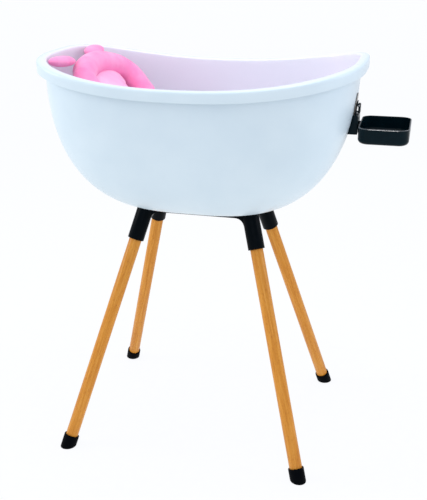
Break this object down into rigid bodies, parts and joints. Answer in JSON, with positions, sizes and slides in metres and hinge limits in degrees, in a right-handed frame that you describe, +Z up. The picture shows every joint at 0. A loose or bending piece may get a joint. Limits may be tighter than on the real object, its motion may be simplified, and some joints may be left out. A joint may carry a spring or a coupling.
{
  "type": "baby bathtub on a four-legged stand",
  "caption": "Oval baby bathtub with a rolled saddle-shaped rim on a splayed wooden-legged stand, with a suction-mounted soap tray, a drain plug and a padded head cushion.",
  "frame": {"origin": "on the floor, under the middle of the whole object's box", "axes": "+X towards the soap tray, +Y towards the rear, +Z up"},
  "size_m": [0.8532, 0.535, 0.948],
  "materials": {
    "stand_plastic": "black moulded nylon, satin",
    "leg_wood": "turned beech with a clear satin varnish",
    "insert_brass": "machined brass",
    "bolt_steel": "zinc-plated steel",
    "foot_rubber": "black rubber, slightly shiny",
    "tub_plastic": "white polypropylene, soft gloss",
    "drain_plastic": "white moulded plastic",
    "gasket_rubber": "soft black rubber",
    "plug_rubber": "pale grey rubber",
    "cup_silicone": "smoky translucent silicone",
    "holder_plastic": "black moulded plastic",
    "tray_plastic": "glossy black with a faint blue-green tint",
    "cushion_pink": "soft pink knitted fabric over foam",
    "cushion_pale": "pale pink knitted fabric over foam"
  },
  "bodies": {
    "stand": {"stand_frame": "stand_plastic", "leg_front_left": "leg_wood", "leg_front_right": "leg_wood", "leg_rear_left": "leg_wood", "leg_rear_right": "leg_wood", "leg_insert_front_left": "insert_brass", "leg_insert_front_right": "insert_brass", "leg_insert_rear_left": "insert_brass", "leg_insert_rear_right": "insert_brass", "leg_bolt_front_left": "bolt_steel", "leg_bolt_front_right": "bolt_steel", "leg_bolt_rear_left": "bolt_steel", "leg_bolt_rear_right": "bolt_steel", "foot_cap_front_left": "foot_rubber", "foot_cap_front_right": "foot_rubber", "foot_cap_rear_left": "foot_rubber", "foot_cap_rear_right": "foot_rubber"},
    "tub": {"tub_basin": "tub_plastic", "drain_flange": "drain_plastic", "drain_gasket": "gasket_rubber", "drain_nut": "drain_plastic", "suction_cup": "cup_silicone", "pull_stud": "holder_plastic", "lever_pin": "bolt_steel", "tray_holder": "holder_plastic"},
    "plug": {"drain_plug": "plug_rubber"},
    "lever": {"lock_lever": "holder_plastic"},
    "tray": {"soap_tray": "tray_plastic"},
    "cushion": {"cushion_head_ring": "cushion_pink", "cushion_body_pad": "cushion_pale", "cushion_ear_front": "cushion_pink", "cushion_ear_rear": "cushion_pink"}
  },
  "joints": [
    {"name": "tub_lift", "type": "slide", "parent": "stand", "child": "tub", "axis": [0, 0, 1], "range_m": [0, 0.15]},
    {"name": "drain_plug_lift", "type": "slide", "parent": "tub", "child": "plug", "axis": [0, 0, 1], "range_m": [0, 0.03]},
    {"name": "lock_lever_turn", "type": "hinge", "parent": "tub", "child": "lever", "pos_m": [0.30981, 0, 0.84499], "axis": [0, -1, 0], "range_deg": [0, 85]},
    {"name": "soap_tray_lift", "type": "slide", "parent": "tub", "child": "tray", "axis": [0, 0, 1], "range_m": [0, 0.034]},
    {"name": "cushion_lift", "type": "slide", "parent": "tub", "child": "cushion", "axis": [0, 0, 1], "range_m": [0, 0.12]}
  ]
}
